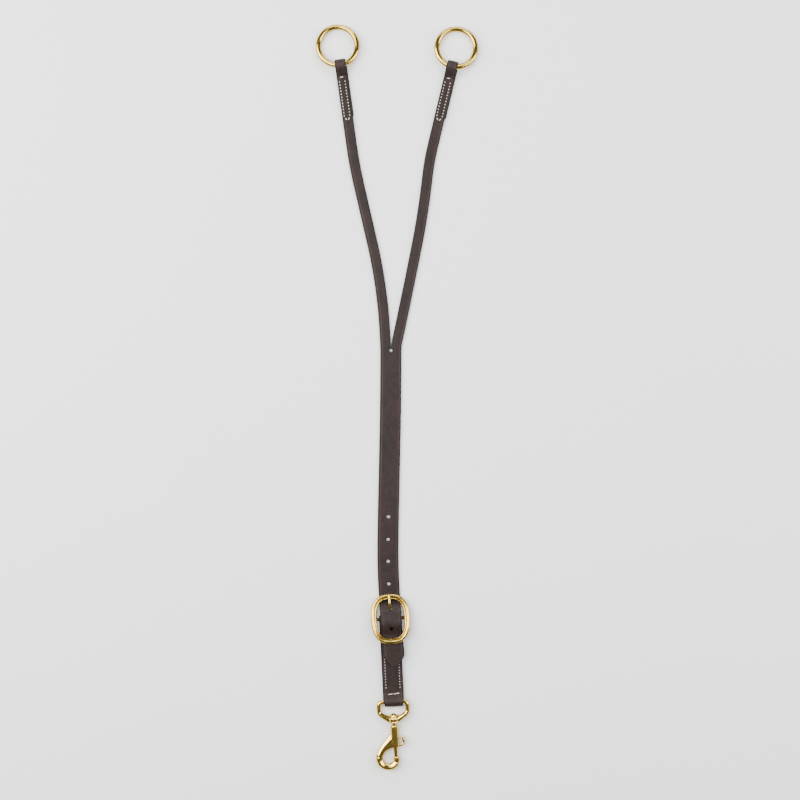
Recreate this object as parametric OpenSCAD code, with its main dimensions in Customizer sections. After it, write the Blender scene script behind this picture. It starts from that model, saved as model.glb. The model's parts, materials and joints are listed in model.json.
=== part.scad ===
// Running martingale fork: a split leather strap with two rein rings, a centre-bar buckle
// and a swivel bolt snap.  It lies flat: +Y towards the rings, +Z up, underside at z = 0.

/* [Leather] */
// Width of the main strap
strap_w = 25.4; // [22:0.2:28]
// Width of each branch of the fork
branch_w = 13; // [11:0.1:13]
// Thickness of the strap leather
leather_t = 3.2; // [2.6:0.1:3.6]
// Thickness of the turned-back branch end at the ring
turned_t = 2.4; // [2:0.1:2.6]
// Thickness of one layer of the snap strap
snap_leather_t = 3; // [2.6:0.1:3.1]
// Width of the snap strap
snap_strap_w = 25.2; // [22:0.2:26]

/* [Fork] */
// Position of the stop hole where the strap splits
split_at = [-6.6, 55.9]; // [-20:0.1:80]
// Diameter of the stop hole
stop_hole_d = 3.6; // [2:0.1:5]
// Left branch from the split: each arc's length and how far it turns, in degrees
left_plan = [[130, 12], [70, 0], [50, -5], [96, 0]]; // [-20:0.5:140]
// Right branch from the split, in the same way
right_plan = [[12, -12], [13, 0], [110, 1], [60, 4], [20, 0], [35, -6.5], [96, 0]]; // [-20:0.5:140]
// Main strap from the split down to the billet's tip, in the same way
main_plan = [[110, -1.2], [100, 0], [45, 2], [30, 2.8], [80, 1.4]]; // [-20:0.5:140]
// Length of the billet's blunt point
tip_l = 13; // [8:1:20]

/* [Rein rings] */
// Outer diameter of a ring
ring_od = 52.5; // [48:0.5:56]
// Diameter of the ring wire
ring_wire_d = 6.1; // [5:0.1:6.2]
// Length of the turned-back end, from the ring wire to its tip
turned_l = 71; // [66:1:76]

/* [Adjustment holes] */
// Distance of the first hole from the split
first_hole = 199.5; // [190:0.5:210]
// Distance between holes
hole_pitch = 26.8; // [24:0.1:28]
// Diameter of a hole
hole_d = 4; // [3:0.1:5]

/* [Buckle] */
// Centre of the buckle's centre bar
buckle_at = [-7, -265.3]; // [-280:0.1:0]
// Turn of the buckle about the vertical
buckle_turn = 4; // [2:0.5:6]
// Outer width of the frame
frame_w = 46.4; // [44:0.5:47]
// Outer length of the frame
frame_l = 59.5; // [58:0.5:62]
// Width of the frame's band
band_w = 6.8; // [5:0.1:7]
// Thickness of the frame
frame_t = 4.6; // [3.6:0.1:4.8]
// Height of the centre bar above the underside
centre_bar_z = 7; // [6.9:0.1:7.2]
// Diameter of the centre bar
centre_bar_d = 4; // [3:0.1:4]

/* [Snap] */
// Position of the eye's top bar, in the fold of the snap strap
eye_at = [-4.4, -364.9]; // [-380:0.1:0]
// Turn of the snap about the vertical
snap_turn = 3.6; // [2:0.2:5]
// Diameter of the eye's wire
eye_wire_d = 5; // [4:0.1:5.2]
// Outer width of the eye
eye_w = 39; // [38:0.5:42]
// Diameter of the swivel collar
collar_d = 11.3; // [10:0.1:11.4]
// Diameter of the barrel
barrel_d = 9.5; // [9:0.1:10]
// Diameter of the bolt
bolt_d = 4.6; // [4:0.1:4.8]
// Travel of the bolt
bolt_travel = 10; // [8:0.5:10]

/* [Stitching] */
// Diameter of the thread
thread_d = 0.9; // [0.6:0.1:1]
// Stitch pitch on the ring loops
loop_pitch = 3.7; // [3:0.1:4.5]
// Stitch pitch on the snap strap
snap_pitch = 3.4; // [3:0.1:4.5]

/* [Hidden] */
$fn = 48;

leather = "#4a3230";
brass = "#c79a3c";
thread = "#e8dfc8";

// Ring loops: the wire turns in a round space left by the fold, which keeps turned_t of leather
ring_r = (ring_od - ring_wire_d) / 2;
loop_space_r = 4.6;
fold_r = loop_space_r + turned_t;
wire_z = fold_r;
ring_tilt = asin((wire_z - ring_wire_d / 2) / (2 * ring_r));
loop_neck = 13.6;
skive_from = 46;
skive_to = 94;
turned_offset = 1.2;
turned_shoulder = 61;
loop_lap = [1.2, 0];
loop_ramp = 14;

// Snap strap: folds round the centre bar at one end and the eye's bar at the other
buckle_fold_r = centre_bar_d / 2 + 0.15 + turned_t;
eye_z = eye_wire_d / 2 + 0.25 + snap_leather_t - 0.05;
snap_strap_at = [buckle_at.x - 1, buckle_at.y];
snap_strap_l = norm(snap_strap_at - eye_at);
snap_strap_turn = 2.8;

// Billet: passes under the top bar, over the centre bar and under the bottom bar, with a gap
// that clears the tilted bars' lower edges
bar_gap = 0.6;
end_bar_y = (frame_l - band_w) / 2;
crest_z = centre_bar_z + buckle_fold_r + 0.1;
lap_z = 2 * snap_leather_t + thread_d / 2 + 0.15;
top_bar_z = leather_t + bar_gap + frame_t / 2;
bottom_bar_z = lap_z + leather_t + bar_gap + frame_t / 2;
frame_z = (top_bar_z + bottom_bar_z) / 2;
frame_tilt = atan((bottom_bar_z - top_bar_z) / (2 * end_bar_y));
tongue_slot_w = 5;
slot_ys = [12.8, 16.5];

// A point [x, y, heading] carried along one arc
function carry(p, length, turn) =
    let (chord = turn == 0 ? length : length * sin(turn / 2) / (turn / 2 * PI / 180),
         way = p[2] + turn / 2)
    [p[0] + chord * cos(way), p[1] + chord * sin(way), p[2] + turn];
// The ends of a plan's arcs
function stations(p, plan, i = 0) =
    i == len(plan) ? [p] : concat([p], stations(carry(p, plan[i][0], plan[i][1]), plan, i + 1));
// Points along a whole plan, about 12 mm apart on its arcs
function route(p, plan) =
    let (ends = stations(p, plan))
    concat([for (i = [0 : len(plan) - 1], j = [0 : ceil(plan[i][0] / 12) - 1])
        let (part = j / ceil(plan[i][0] / 12))
        carry(ends[i], plan[i][0] * part, plan[i][1] * part)], [ends[len(plan)]]);
function side(p, d) = [p[0] - d * sin(p[2]), p[1] + d * cos(p[2])];
// The point of a plan at a distance from its start
function point_at(p, plan, d, i = 0) =
    d <= plan[i][0] || i == len(plan) - 1
        ? carry(p, d, plan[i][1] * d / plan[i][0])
        : point_at(carry(p, plan[i][0], plan[i][1]), plan, d - plan[i][0], i + 1);
// Smooth rise from 0 to 1
function ease(x) = (1 - cos(180 * min(max(x, 0), 1))) / 2;
function last(list) = list[len(list) - 1];

main_start = [split_at.x, split_at.y, -90];
left_start = [split_at.x - strap_w / 4 - 0.1, split_at.y, 91];
right_start = [split_at.x + strap_w / 4 + 0.2, split_at.y, 90];
left_end = last(stations(left_start, left_plan));
right_end = last(stations(right_start, right_plan));
main_end = last(stations(main_start, main_plan));

module strip(p, plan, w) {
    pts = route(p, plan);
    polygon(concat([for (q = pts) side(q, w / 2)],
        [for (i = [len(pts) - 1 : -1 : 0]) side(pts[i], -w / 2)]));
}
// Places children in a frame whose +Y is the heading of p
module at(p) translate([p[0], p[1], 0]) rotate(p[2] - 90) children();
module at_buckle() translate([buckle_at.x, buckle_at.y, 0]) rotate(buckle_turn) children();
module at_snap_strap() translate([snap_strap_at.x, snap_strap_at.y, 0])
    rotate(snap_strap_turn) children();
module at_snap() translate([eye_at.x, eye_at.y, eye_z]) rotate(snap_turn) children();
// Extrudes a side view, drawn as [y, z], across the width
module across(w) rotate([90, 0, 90]) linear_extrude(w, center = true) children();
// A round bar along Y from y0 to y1
module bar_y(r, y0, y1) translate([0, y1, 0]) rotate([90, 0, 0]) cylinder(r = r, h = y1 - y0);
// A round bar along X from x0 to x1
module bar_x(r, x0, x1) translate([x0, 0, 0]) rotate([0, 90, 0]) cylinder(r = r, h = x1 - x0);
// A round bar between two points of the XY plane
module bar(r, a, b) translate([a.x, a.y, 0]) rotate([0, 90, atan2(b.y - a.y, b.x - a.x)])
    cylinder(r = r, h = norm(b - a));

// --- Ring loops ---------------------------------------------------------------------------
function loop_underside(y) = y > -skive_from
    ? turned_t + (wire_z + loop_space_r - turned_t) * ease((y + loop_ramp) / loop_ramp)
    : turned_t * ease((y + skive_to) / (skive_to - skive_from));
function loop_top(y) = loop_underside(y) + leather_t + (turned_t - leather_t) * ease((y + 10) / 10);
loop_ys = concat([for (y = [0 : -2 : -loop_ramp]) y], [-skive_from],
    [for (y = [-skive_from - 6 : -6 : -skive_to]) y], [-skive_to - 1.8]);

module loop_front() across(branch_w) polygon(concat([for (y = loop_ys) [y, loop_top(y)]],
    [for (i = [len(loop_ys) - 1 : -1 : 0]) [loop_ys[i], loop_underside(loop_ys[i])]]));
module loop_back() intersection() {
    across(branch_w + 2) polygon(concat([[0.5, 0], [0.5, turned_t]],
        [for (y = loop_ys) if (y <= -loop_ramp && y > -turned_l) [y, loop_underside(y) + 0.02]],
        [[-turned_l, loop_underside(-turned_l)], [-turned_l, 0]]));
    linear_extrude(turned_t + 1) polygon([[-branch_w / 2, 1], [branch_w / 2, 1],
        [branch_w / 2, -turned_shoulder], [0, -turned_l], [-branch_w / 2, -turned_shoulder]]);
}
module loop_fold() intersection() {
    translate([0, 0, wire_z]) difference() {
        bar_x(fold_r, -loop_neck / 2, loop_neck / 2);
        bar_x(loop_space_r, -loop_neck, loop_neck);
        translate([-loop_neck, -2 * fold_r - 0.4, -2 * fold_r])
            cube([2 * loop_neck, 2 * fold_r, 4 * fold_r]);
    }
    linear_extrude(3 * fold_r) polygon([[-loop_neck / 2, -1], [loop_neck / 2, -1],
        [loop_neck / 2, fold_r - 3], [loop_neck / 2 - 2.5, fold_r + 1],
        [2.5 - loop_neck / 2, fold_r + 1], [-loop_neck / 2, fold_r - 3]]);
}
module ring_loop() {
    loop_front();
    translate([turned_offset, 0, 0]) loop_back();
    translate([turned_offset / 2, 0, 0]) loop_fold();
}

// --- Fork strap ---------------------------------------------------------------------------
billet_ys = concat([end_bar_y + 30], [for (y = [24.5 : -1.5 : 9.5]) y], [for (y = [-3 : -2 : -21]) y],
    [-end_bar_y - 50]);
function billet_underside(y) = y > 0 ? crest_z * ease((24.5 - y) / 15)
    : lap_z + (crest_z - lap_z) * ease((y + 21) / 18);
module billet_side() at_buckle() across(90) polygon(concat(
    [[400, leather_t]], [for (y = billet_ys) [y, billet_underside(y) + leather_t]],
    [for (i = [len(billet_ys) - 1 : -1 : 0]) [billet_ys[i], billet_underside(billet_ys[i])]],
    [[400, 0]]));
module main_outline() {
    strip(main_start, main_plan, strap_w);
    at(main_end) polygon([[-strap_w / 2, -1], [strap_w / 2, -1], [strap_w / 2, 0],
        [strap_w * 0.3, tip_l * 0.7], [strap_w * 0.14, tip_l], [-strap_w * 0.14, tip_l],
        [-strap_w * 0.3, tip_l * 0.7], [-strap_w / 2, 0]]);
}
module fork_strap() color(leather) difference() {
    union() {
        intersection() {
            linear_extrude(30) main_outline();
            billet_side();
        }
        linear_extrude(leather_t) {
            strip(left_start, concat([for (i = [0 : 2]) left_plan[i]], [loop_lap]), branch_w);
            strip(right_start, concat([for (i = [0 : 5]) right_plan[i]], [loop_lap]), branch_w);
            translate(split_at - [strap_w / 2, 1]) square([strap_w, 2]);
        }
        at(left_end) ring_loop();
        at(right_end) ring_loop();
    }
    translate([split_at.x, split_at.y, -1]) cylinder(d = stop_hole_d, h = 10);
    translate([split_at.x - 0.2, split_at.y, -1]) cube([0.4, 14, 10]);
    for (i = [0 : 5]) if (i != 4)
        at(point_at(main_start, main_plan, first_hole + i * hole_pitch))
            translate([0, 0, -1]) cylinder(d = hole_d, h = 30);
    at_buckle() for (y = slot_ys) translate([0, y, -1]) cylinder(d = tongue_slot_w, h = 30);
    at_buckle() translate([-tongue_slot_w / 2, slot_ys[0], -1])
        cube([tongue_slot_w, slot_ys[1] - slot_ys[0], 30]);
}

// --- Rings --------------------------------------------------------------------------------
module rein_ring() translate([0, 0, wire_z]) rotate([-ring_tilt, 0, 0]) translate([0, ring_r, 0])
    rotate_extrude($fn = 96) translate([ring_r, 0]) circle(d = ring_wire_d);
module left_ring() color(brass) at(left_end) rein_ring();
module right_ring() color(brass) at(right_end) rein_ring();

// --- Stitching ----------------------------------------------------------------------------
module stitch(a, b, z) translate([0, 0, z]) bar(thread_d / 2, a, b);
// A row of stitches from a to b, each filling three quarters of its pitch, centred at height z
module row(a, b, pitch, z) {
    n = floor(norm(b - a) / pitch);
    way = (b - a) / norm(b - a);
    for (i = [0 : n - 1]) stitch(a + way * (i + 0.12) * pitch, a + way * (i + 0.88) * pitch, z);
}
row_x = 3.3;
module loop_rows() for (s = [-1, 1]) {
    row([s * row_x - 0.4, -18], [s * row_x - 0.4, -18 - 7 * loop_pitch - 0.1], loop_pitch,
        turned_t + leather_t);
    for (i = [7 : 11]) stitch([s * row_x - 0.4, -18 - (i + 0.12) * loop_pitch],
        [s * row_x - 0.4, -18 - (i + 0.88) * loop_pitch], loop_top(-18 - (i + 0.88) * loop_pitch));
    stitch([s * row_x * 0.8 - 0.4, -63.2], [s * 0.6 - 0.4, -66.2], loop_top(-66.2));
}
module bar_stitch() stitch([-2.6, -14.6], [1.6, -14.2], turned_t + leather_t);
module left_loop_stitching() color(thread) at(left_end) loop_rows();
module right_loop_stitching() color(thread) at(right_end) loop_rows();
module left_bar_stitch() color(thread) at(left_end) bar_stitch();
module right_bar_stitch() color(thread) at(right_end) bar_stitch();
snap_row_x = 8.4;
snap_row_from = 30;
module snap_strap_stitching() color(thread) at_snap_strap() for (s = [-1, 1])
    row([s * snap_row_x, -snap_row_from], [s * snap_row_x, 12 - snap_strap_l], snap_pitch,
        2 * snap_leather_t);
module snap_strap_cross_stitch() color(thread) at_snap_strap() {
    stitch([-8.8, 9 - snap_strap_l], [-0.8, 9.3 - snap_strap_l], 2 * snap_leather_t + 0.2);
    stitch([0, 9.4 - snap_strap_l], [7.4, 10 - snap_strap_l], 2 * snap_leather_t + 0.2);
}

// --- Buckle -------------------------------------------------------------------------------
module rounded(w, l, r) {
    square([w - 2 * r, l], center = true);
    square([w, l - 2 * r], center = true);
    for (x = [-1, 1], y = [-1, 1]) translate([x * (w / 2 - r), y * (l / 2 - r)]) circle(r);
}
frame_corner_r = 16;
window_corner_r = 10;
module buckle_frame() color(brass) at_buckle() {
    translate([0, 0, frame_z]) rotate([-frame_tilt, 0, 0])
        linear_extrude(frame_t, center = true) difference() {
            rounded(frame_w, frame_l, frame_corner_r);
            rounded(frame_w - 2 * band_w, frame_l - 2 * band_w, window_corner_r);
        }
    translate([0, 0, centre_bar_z])
        bar_x(centre_bar_d / 2, 2.5 - frame_w / 2, frame_w / 2 - 2.5);
}
// The tongue's eye turns on the centre bar and its tip lies on the top bar
tongue_w = 3.4;
tongue_eye_r = 3.2;
tongue_rest_z = top_bar_z + frame_t / 2 + 0.55;
module buckle_tongue() color(brass) at_buckle() difference() {
    union() {
        translate([0, 0, centre_bar_z]) bar_x(tongue_eye_r, -tongue_w / 2, tongue_w / 2);
        intersection() {
            across(tongue_w) polygon([[0, centre_bar_z + tongue_eye_r], [5, centre_bar_z + 2.7],
                [12, tongue_rest_z + 1.25], [18, tongue_rest_z + 1.95], [28, tongue_rest_z + 1.8],
                [29.4, tongue_rest_z + 0.8], [29, tongue_rest_z], [18, tongue_rest_z],
                [12, tongue_rest_z - 0.65], [5, centre_bar_z + 0.6], [3, centre_bar_z]]);
            linear_extrude(30) polygon([[-tongue_w / 2, 0], [tongue_w / 2, 0], [tongue_w / 2, 12],
                [0.9, 30], [-0.9, 30], [-tongue_w / 2, 12]]);
        }
    }
    translate([0, 0, centre_bar_z]) bar_x(centre_bar_d / 2 + 0.06, -5, 5);
}

// --- Snap strap ---------------------------------------------------------------------------
eye_fold_r = eye_z;
eye_space_r = eye_fold_r - snap_leather_t + 0.05;
function upper_underside(y) = y > -snap_strap_l / 2
    ? snap_leather_t + (centre_bar_z + buckle_fold_r - turned_t - snap_leather_t) * ease((y + 14) / 14)
    : snap_leather_t + (eye_z + eye_space_r - snap_leather_t) * ease((11 - snap_strap_l - y) / 11);
function lower_underside(y) = (centre_bar_z - buckle_fold_r) * ease((y + 12) / 12);
snap_strap_ys = concat([for (y = [0 : -2 : -14]) y],
    [for (i = [0 : 6]) 11 - snap_strap_l - 11 * i / 6]);
snap_strap_back_ys = [for (i = [len(snap_strap_ys) - 1 : -1 : 0]) snap_strap_ys[i]];
function upper_t(y) = snap_leather_t + (turned_t - snap_leather_t) * ease((y + 10) / 10);
module snap_strap() color(leather) at_snap_strap() difference() {
    union() {
        across(snap_strap_w) polygon(concat(
            [for (y = snap_strap_ys) [y, upper_underside(y) + upper_t(y)]],
            [for (y = snap_strap_back_ys) [y, upper_underside(y)]]));
        across(snap_strap_w) polygon(concat(
            [for (y = snap_strap_ys) [y, lower_underside(y) + min(snap_leather_t, upper_t(y))]],
            [for (y = snap_strap_back_ys) [y, lower_underside(y)]]));
        translate([0, 0, centre_bar_z]) intersection() {
            bar_x(buckle_fold_r, -snap_strap_w / 2, snap_strap_w / 2);
            translate([-20, 0, -20]) cube(40);
        }
        translate([0, -snap_strap_l, eye_z]) intersection() {
            bar_x(eye_fold_r, 2 - snap_strap_w / 2, snap_strap_w / 2 - 2);
            translate([-20, -40, -20]) cube(40);
        }
    }
    translate([0, 0, centre_bar_z]) bar_x(centre_bar_d / 2 + 0.15, -20, 20);
    translate([0, -snap_strap_l, eye_z]) bar_x(eye_space_r, -20, 20);
    translate([1, -4, centre_bar_z - 1 - buckle_fold_r]) translate([-tongue_slot_w / 2, 0, 0])
        cube([tongue_slot_w, 20, 3 * buckle_fold_r]);
}

// --- Snap ---------------------------------------------------------------------------------
// Stations along the snap's axis, measured from the eye's bar
arm_x = (eye_w - eye_wire_d) / 2;
arm_end = 12.5;
collar_top = 18.7;
collar_l = 6.7;
stud_d = 5;
barrel_top = 28.6;
barrel_end = 54.6;
stud_end = 34;
bolt_top = 49;
bolt_tip = 66.6;
lever_y = 52;
lever_r = 1.5;
lever_ball_r = 2;
module snap_eye() color(brass) at_snap() difference() {
    union() {
        bar_x(eye_wire_d / 2, 4 - arm_x, arm_x - 4);
        for (s = [-1, 1]) {
            translate([s * (arm_x - 4), -4, 0]) rotate(s == 1 ? 0 : 90)
                rotate_extrude(angle = 90) translate([4, 0]) circle(d = eye_wire_d);
            translate([s * arm_x, 0, 0]) bar_y(eye_wire_d / 2, -arm_end, -4);
            translate([s * arm_x, -arm_end, 0]) sphere(d = eye_wire_d);
            bar(eye_wire_d / 2, [s * arm_x, -arm_end], [s * 4.5, -collar_top - 3.4]);
        }
        bar_y(collar_d / 2, -collar_top - collar_l, -collar_top);
    }
    bar_y(stud_d / 2 + 0.06, -collar_top - collar_l - 1, 1 - arm_end);
}
module swivel_stud() color(brass) at_snap() {
    bar_y(stud_d / 2, -stud_end, -collar_top + 1);
    intersection() {
        translate([0, 0.15 - collar_top, 0]) sphere(r = 4.9);
        bar_y(6, 0.15 - collar_top, 0);
    }
}
hook_at = [-9.3, -66.8];
hook_r = 10.9;
hook_wire_r = 3.9;
module snap_body() color(brass) at_snap() difference() {
    union() {
        bar_y(barrel_d / 2, -barrel_end, -barrel_top);
        linear_extrude(6, center = true) polygon([[-2.5, -37], [-6.5, -39.5], [-11, -45], [-16.5, -51],
            [-20.4, -57], [-23.2, -63], [-23.6, -66.8], [-16.8, -66.8], [-14.8, -61], [-10.7, -57.4],
            [-2.5, -54.6]]);
        translate(hook_at) rotate(180) rotate_extrude(angle = 165)
            translate([hook_r, 0]) circle(hook_wire_r);
        translate([0.4, 0, 0]) bar_y(3.2, -71.5, -65.6);
        translate([1.2, -70.2, 0]) sphere(r = 3.5);
    }
    bar_y(bolt_d / 2 + 0.06, -67.2, -stud_end);
    bar_y(stud_d / 2, -stud_end, 0);
    linear_extrude(2 * lever_r + 0.5, center = true) polygon([[1.5, -53.8], [8, -53.8],
        [8, 1.8 - lever_y + bolt_travel], [1.5, 1.8 - lever_y + bolt_travel]]);
}
module snap_bolt() color(brass) at_snap() difference() {
    bar_y(bolt_d / 2, -bolt_tip, -bolt_top);
    translate([0, -lever_y, 0]) bar_x(lever_r, 0, 10);
}
lever_points = [[7.5, -lever_y], [10.2, -49.6], [10.4, -46.2], [9.2, -43]];
module thumb_lever() color(brass) at_snap() {
    translate([0, -lever_y, 0]) bar_x(lever_r, 0.2, lever_points[0].x);
    for (i = [0 : 2]) {
        bar(lever_r, lever_points[i], lever_points[i + 1]);
        translate(lever_points[i]) sphere(lever_r + 0.15);
    }
    translate(lever_points[3]) sphere(lever_ball_r);
}

// The spring is one tube swept along a helix
spring_turns = 6;
spring_r = 1.75;
spring_wire_r = 0.3;
spring_steps = 14;
spring_sides = 8;
spring_from = bolt_top - 0.35;
spring_to = stud_end + 0.35;
module bolt_spring() color("silver") at_snap() {
    n = spring_turns * spring_steps;
    rise = (spring_from - spring_to) / n;
    points = [for (i = [0 : n], j = [0 : spring_sides - 1])
        let (a = 360 * i / spring_steps, b = -360 * j / spring_sides,
             r = spring_r + spring_wire_r * cos(b))
        [r * cos(a), rise * i - spring_from + spring_wire_r * sin(b), r * sin(a)]];
    sides = [for (i = [0 : n - 1], j = [0 : spring_sides - 1])
        let (k = (j + 1) % spring_sides, o = i * spring_sides)
        [o + j, o + k, o + spring_sides + k, o + spring_sides + j]];
    ends = [[for (j = [spring_sides - 1 : -1 : 0]) j],
        [for (j = [0 : spring_sides - 1]) n * spring_sides + j]];
    polyhedron(points, concat(sides, ends));
}

fork_strap();
left_ring();
right_ring();
left_loop_stitching();
right_loop_stitching();
left_bar_stitch();
right_bar_stitch();
buckle_frame();
buckle_tongue();
snap_strap();
snap_strap_stitching();
snap_strap_cross_stitch();
snap_eye();
swivel_stud();
snap_body();
snap_bolt();
thumb_lever();
bolt_spring();
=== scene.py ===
"""A running martingale fork lying flat: split leather strap, rein rings, buckle and bolt snap.

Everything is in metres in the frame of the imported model: +Y towards the rings, +Z up, and the
leather lies on z = 0. Local frames come from the joints: x runs across the strap, y along it."""
import json
import math
import bmesh
import bpy
from mathutils import Matrix, Vector, noise


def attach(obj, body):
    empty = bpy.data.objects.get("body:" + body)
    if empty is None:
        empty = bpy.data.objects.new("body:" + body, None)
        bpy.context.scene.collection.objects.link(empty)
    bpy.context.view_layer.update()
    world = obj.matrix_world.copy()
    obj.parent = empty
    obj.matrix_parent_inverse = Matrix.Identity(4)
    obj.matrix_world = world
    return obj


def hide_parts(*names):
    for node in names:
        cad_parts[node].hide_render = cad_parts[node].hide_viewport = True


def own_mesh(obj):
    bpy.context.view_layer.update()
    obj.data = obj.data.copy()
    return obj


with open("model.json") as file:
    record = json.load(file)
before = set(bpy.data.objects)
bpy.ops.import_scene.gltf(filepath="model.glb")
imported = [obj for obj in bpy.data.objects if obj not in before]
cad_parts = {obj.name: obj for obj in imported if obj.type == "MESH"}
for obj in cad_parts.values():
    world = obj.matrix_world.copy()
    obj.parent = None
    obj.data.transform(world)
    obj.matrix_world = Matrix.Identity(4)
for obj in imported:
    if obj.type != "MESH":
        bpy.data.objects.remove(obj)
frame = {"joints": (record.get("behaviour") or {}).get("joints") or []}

MM = 0.001
UP = Vector((0, 0, 1))
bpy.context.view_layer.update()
JOINTS = {joint["name"]: joint for joint in frame["joints"]}


def joint_frame(name, sign=1):
    """The frame at a hinge: x along its axis, z up."""
    joint = JOINTS[name]
    x = Vector(joint["axis"]).normalized() * sign
    matrix = Matrix((x, UP.cross(x), UP)).transposed().to_4x4()
    matrix.translation = Vector(joint["pos_m"])
    return matrix


LEFT_LOOP = joint_frame("left_ring_swing")
RIGHT_LOOP = joint_frame("right_ring_swing")
BUCKLE = joint_frame("tongue_lift")
SNAP = joint_frame("eye_swing", -1)

# Leather
STRAP_W = 25.4 * MM
BRANCH_W = 13 * MM
STRAP_T = 3.2 * MM
TURNED_T = 2.4 * MM
SNAP_STRAP_W = 25.2 * MM
SNAP_STRAP_T = 3 * MM
EDGE_ROUND = 1.1 * MM
CREASE_IN = 2.5 * MM
CREASE_HALF = 0.55 * MM
CREASE_DEPTH = 0.34 * MM
THINNING_L = 10 * MM
DENT_HALF = 0.55 * MM

# The fork's plan: each arc's length in mm and its turn in degrees, from the split
SPLIT = Vector((-6.6, 55.9, 0)) * MM
LEFT_PLAN = [(130, 12), (70, 0), (50, -5), (2, 0)]
RIGHT_PLAN = [(12, -12), (13, 0), (110, 1), (60, 4), (20, 0), (35, -6.5), (2, 0)]
MAIN_PLAN = [(110, -1.2), (100, 0), (45, 2), (30, 2.8), (80, 1.4)]
TIP_L = 13 * MM
# Width of the blunt tip, as (mm past its shoulder, width in mm)
TIP_SHAPE = [(0, 25.4), (1.5, 25.0), (3, 23.6), (5, 20.8), (7, 17.6), (9.1, 14.4), (11, 11.2),
             (12.2, 8.6), (13, 5.8)]
STOP_HOLE_D = 3.6 * MM
FIRST_HOLE = 199.5 * MM
HOLE_PITCH = 26.8 * MM
HOLE_D = 4 * MM

# Ring loops
RING_WIRE_Z = LEFT_LOOP.translation.z
RING_R = 23.2 * MM
RING_WIRE_R = 3.05 * MM
LOOP_SPACE_R = 4.6 * MM
TURNED_L = 71 * MM
TURNED_SHOULDER = 61 * MM
TURNED_SHIFT = 1.2 * MM
SKIVE_FROM = 46 * MM
SKIVE_TO = 94 * MM
LOOP_RAMP = 14 * MM

# Buckle
FRAME_W = 46.4 * MM
FRAME_L = 59.5 * MM
BAND_W = 6.8 * MM
FRAME_T = 4.6 * MM
CENTRE_BAR_R = 2 * MM
TOP_BAR_Z = 6.1 * MM
BOTTOM_BAR_Z = 12.7 * MM
FRAME_Z = (TOP_BAR_Z + BOTTOM_BAR_Z) / 2
FRAME_TILT = math.atan((BOTTOM_BAR_Z - TOP_BAR_Z) / (FRAME_L - BAND_W))
BUCKLE_FOLD_R = CENTRE_BAR_R + 0.15 * MM + TURNED_T
CREST_Z = BUCKLE.translation.z + BUCKLE_FOLD_R + 0.1 * MM
LAP_Z = 6.6 * MM
SLOT_W = 5 * MM
# These inward quads get the dark brass, a painted shade on the frame's inner wall.
SHADED_INNER_WALL = range(30, 44)  # the quads of beaded_section() that face inward

# Snap
EYE_R = 2.5 * MM
EYE_SPACE_R = 2.75 * MM
BOLT_R = 2.3 * MM
STUD_R = 2.5 * MM

# Stitching
THREAD_R = 0.45 * MM
LOOP_PITCH = 3.7 * MM
SNAP_PITCH = 3.4 * MM
LOOP_STITCH_Y = -18 * MM
SNAP_STITCH_Y = -30 * MM
LOOP_ROW_X = 3.3 * MM
LOOP_ROW_SHIFT = -0.4 * MM
SNAP_ROW_X = 8.4 * MM

SNAP_STRAP = Matrix.Translation((BUCKLE.translation.x - 1 * MM, BUCKLE.translation.y, 0)) @ \
    Matrix.Rotation(math.radians(2.8), 4, "Z")
SNAP_STRAP_L = (SNAP.translation - SNAP_STRAP.translation).xy.length


# --- Small tools --------------------------------------------------------------------------
def ease(x):
    return (1 - math.cos(math.pi * min(max(x, 0), 1))) / 2


def bump(x, half):
    """A smooth dip: 1 at 0, fading to nothing about two halves away."""
    return math.exp(-(x / half) ** 2)


def rough(point, scale, seed=0.0):
    """Smooth noise from -1 to 1 whose features are about scale metres across."""
    return noise.noise(Vector(point) / scale + Vector((seed, seed * 1.7, seed * 0.3)))


def level(matrix):
    """A joint's frame moved down to the ground."""
    return Matrix.Translation((0, 0, -matrix.translation.z)) @ matrix


def along(points, i):
    """Which way a line of points runs at point i."""
    return points[min(i + 1, len(points) - 1)] - points[max(i - 1, 0)]


def carry(point, heading, length, turn):
    """Carries a point and heading (radians) along one arc."""
    chord = length if turn == 0 else length * math.sin(turn / 2) / (turn / 2)
    way = heading + turn / 2
    return point + Vector((math.cos(way), math.sin(way), 0)) * chord, heading + turn


def route(start, heading, plan, step):
    """Points, headings and distances along a plan of arcs, about step apart."""
    stations = []
    gone = 0.0
    for length_mm, turn_deg in plan:
        length, turn = length_mm * MM, math.radians(turn_deg)
        count = max(1, round(length / step))
        for i in range(count):
            part = i / count
            point, way = carry(start, heading, length * part, turn * part)
            stations.append((point, way, gone + length * part))
        start, heading = carry(start, heading, length, turn)
        gone += length
    stations.append((start, heading, gone))
    return stations


def new_object(name, mesh, body, material, replaces):
    piece = bpy.data.objects.new(name, mesh)
    bpy.context.scene.collection.objects.link(piece)
    piece.data.materials.append(material)
    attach(piece, body)
    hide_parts(*replaces)
    return piece


def smooth(mesh, angle=40):
    """Shades a mesh smooth, with sharp edges where it turns more than angle degrees."""
    bm = bmesh.new()
    bm.from_mesh(mesh)
    bmesh.ops.recalc_face_normals(bm, faces=bm.faces)
    for face in bm.faces:
        face.smooth = True
    for edge in bm.edges:
        edge.smooth = not (edge.is_manifold and edge.calc_face_angle() > math.radians(angle))
    bm.to_mesh(mesh)
    bm.free()


def mesh_from(name, points, faces, transform=None):
    """A mesh with its normals turned outward."""
    mesh = bpy.data.meshes.new(name)
    mesh.from_pydata([tuple(p) for p in points], [], faces)
    if transform:
        mesh.transform(transform)
    bm = bmesh.new()
    bm.from_mesh(mesh)
    bmesh.ops.recalc_face_normals(bm, faces=bm.faces)
    bm.to_mesh(mesh)
    bm.free()
    return mesh


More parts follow.
